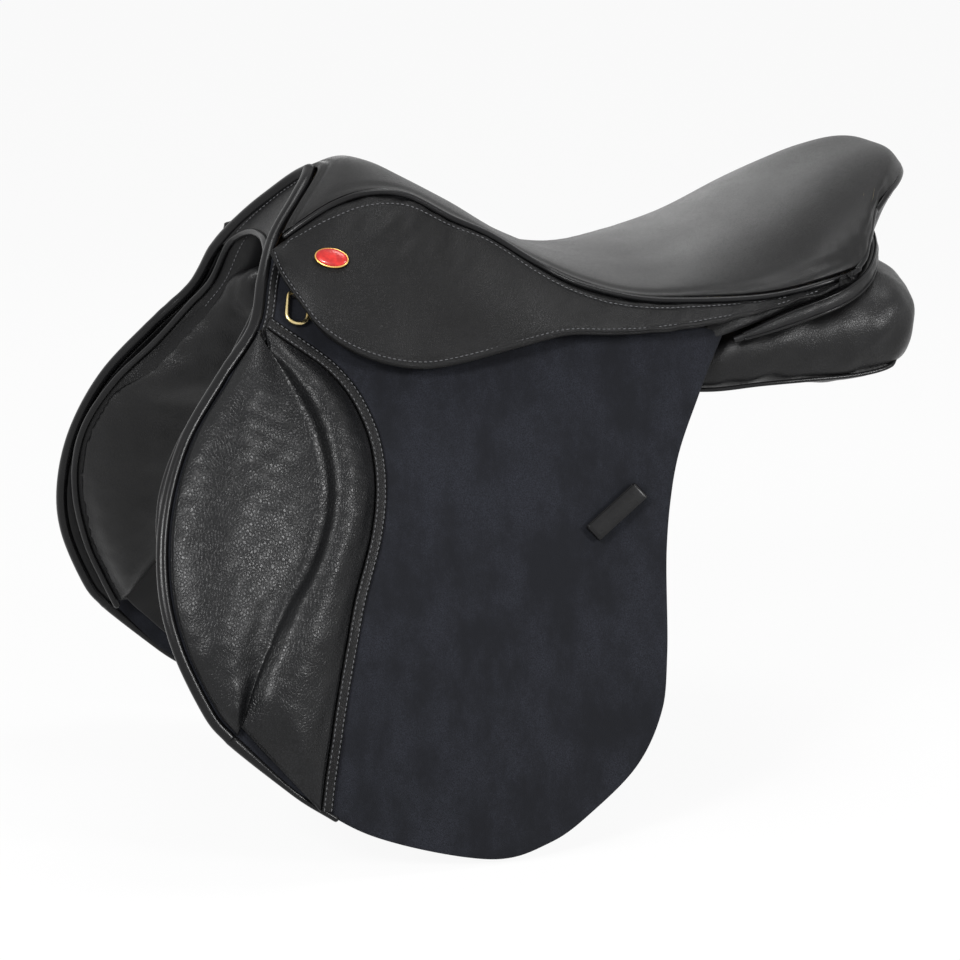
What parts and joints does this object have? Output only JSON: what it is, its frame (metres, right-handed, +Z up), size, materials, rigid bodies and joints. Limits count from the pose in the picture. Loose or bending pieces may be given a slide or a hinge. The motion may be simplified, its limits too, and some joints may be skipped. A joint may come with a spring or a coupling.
{
  "type": "pony saddle",
  "caption": "English general-purpose pony saddle in black leather, with padded panels, knee pads, girth straps, stirrup bars and brass dees.",
  "frame": {"origin": "on the centre plane, in the channel between the panels, under the lowest part of the seat, where the horse's back lies", "axes": "+X runs back to the cantle, +Z is up, -Y is the near side"},
  "size_m": [0.559, 0.3854, 0.4331],
  "materials": {
    "grained_leather": "black grained leather with a satin sheen",
    "smooth_leather": "smooth black leather, lightly polished",
    "flap_leather": "matt blue-black leather with a suede-like face",
    "strap_leather": "black bridle leather",
    "webbing": "undyed woven webbing",
    "foam": "cream seat foam",
    "laminated_wood": "varnished laminated beech",
    "steel": "plain steel",
    "brass": "pale polished brass",
    "enamel": "glossy red enamel in a gold rim, bare"
  },
  "bodies": {
    "saddle": {"badge_near": "enamel", "badge_off": "enamel", "cantle_facing": "grained_leather", "cantle_roll": "grained_leather", "cantle_welt": "smooth_leather", "catch_pin_near": "steel", "catch_pin_off": "steel", "dee_chape_near": "strap_leather", "dee_chape_off": "strap_leather", "flap_top_near": "flap_leather", "flap_top_off": "flap_leather", "girth_web_near": "webbing", "girth_web_off": "webbing", "gullet_plate": "steel", "head_facing": "grained_leather", "head_roll": "smooth_leather", "panel_near": "grained_leather", "panel_off": "grained_leather", "panel_roll": "smooth_leather", "panel_welt_near": "smooth_leather", "panel_welt_off": "smooth_leather", "seat_cover": "grained_leather", "seat_foam": "foam", "seat_web_front": "webbing", "seat_web_long": "webbing", "seat_web_rear": "webbing", "seat_welt_near": "smooth_leather", "seat_welt_off": "smooth_leather", "skirt_top_near": "grained_leather", "skirt_top_off": "grained_leather", "stirrup_bar_near": "steel", "stirrup_bar_off": "steel", "sweat_flap_near": "smooth_leather", "sweat_flap_off": "smooth_leather", "tree_arch": "laminated_wood", "tree_frame": "laminated_wood"},
    "flap_near": {"flap_near": "flap_leather", "flap_roll_near": "smooth_leather", "knee_pad_near": "grained_leather", "knee_strip_near": "grained_leather", "keeper_near": "smooth_leather"},
    "flap_off": {"flap_off": "flap_leather", "flap_roll_off": "smooth_leather", "knee_pad_off": "grained_leather", "knee_strip_off": "grained_leather", "keeper_off": "smooth_leather"},
    "skirt_near": {"skirt_near": "grained_leather"},
    "skirt_off": {"skirt_off": "grained_leather"},
    "straps_near": {"girth_strap_front_near": "strap_leather", "girth_strap_middle_near": "strap_leather", "girth_strap_rear_near": "strap_leather", "buckle_guard_near": "strap_leather"},
    "straps_off": {"girth_strap_front_off": "strap_leather", "girth_strap_middle_off": "strap_leather", "girth_strap_rear_off": "strap_leather", "buckle_guard_off": "strap_leather"},
    "dee_near": {"dee_ring_near": "brass"},
    "dee_off": {"dee_ring_off": "brass"},
    "catch_near": {"bar_catch_near": "steel"},
    "catch_off": {"bar_catch_off": "steel"}
  },
  "joints": [
    {"name": "flap_lift_near", "type": "hinge", "parent": "saddle", "child": "flap_near", "pos_m": [-0.26801, -0.08525, 0.01964], "axis": [-0.9727, 0.181, 0.1456], "range_deg": [0, 45]},
    {"name": "flap_lift_off", "type": "hinge", "parent": "saddle", "child": "flap_off", "pos_m": [-0.26801, 0.08525, 0.01964], "axis": [0.9727, 0.181, -0.1456], "range_deg": [0, 45]},
    {"name": "skirt_lift_near", "type": "hinge", "parent": "saddle", "child": "skirt_near", "pos_m": [-0.23983, -0.08464, 0.05368], "axis": [-0.9546, 0.2442, 0.1706], "range_deg": [0, 60]},
    {"name": "skirt_lift_off", "type": "hinge", "parent": "saddle", "child": "skirt_off", "pos_m": [-0.23983, 0.08464, 0.05368], "axis": [0.9546, 0.2442, -0.1706], "range_deg": [0, 60]},
    {"name": "straps_swing_near", "type": "hinge", "parent": "saddle", "child": "straps_near", "pos_m": [-0.117, -0.10929, -0.01], "axis": [0.0847, 0.9392, -0.3328], "range_deg": [-3, 3]},
    {"name": "straps_swing_off", "type": "hinge", "parent": "saddle", "child": "straps_off", "pos_m": [-0.117, 0.10929, -0.01], "axis": [-0.0847, 0.9392, 0.3328], "range_deg": [-3, 3]},
    {"name": "dee_swing_near", "type": "hinge", "parent": "saddle", "child": "dee_near", "pos_m": [-0.232, -0.07391, 0.04332], "axis": [-0.9695, 0.1315, 0.2069], "range_deg": [0, 14]},
    {"name": "dee_swing_off", "type": "hinge", "parent": "saddle", "child": "dee_off", "pos_m": [-0.232, 0.07391, 0.04332], "axis": [0.9695, 0.1315, -0.2069], "range_deg": [0, 14]},
    {"name": "catch_turn_near", "type": "hinge", "parent": "saddle", "child": "catch_near", "pos_m": [-0.1412, -0.08095, 0.02978], "axis": [0.1596, 0.8541, -0.495], "range_deg": [0, 80]},
    {"name": "catch_turn_off", "type": "hinge", "parent": "saddle", "child": "catch_off", "pos_m": [-0.1412, 0.08095, 0.02978], "axis": [-0.1596, 0.8541, 0.495], "range_deg": [0, 80]}
  ]
}
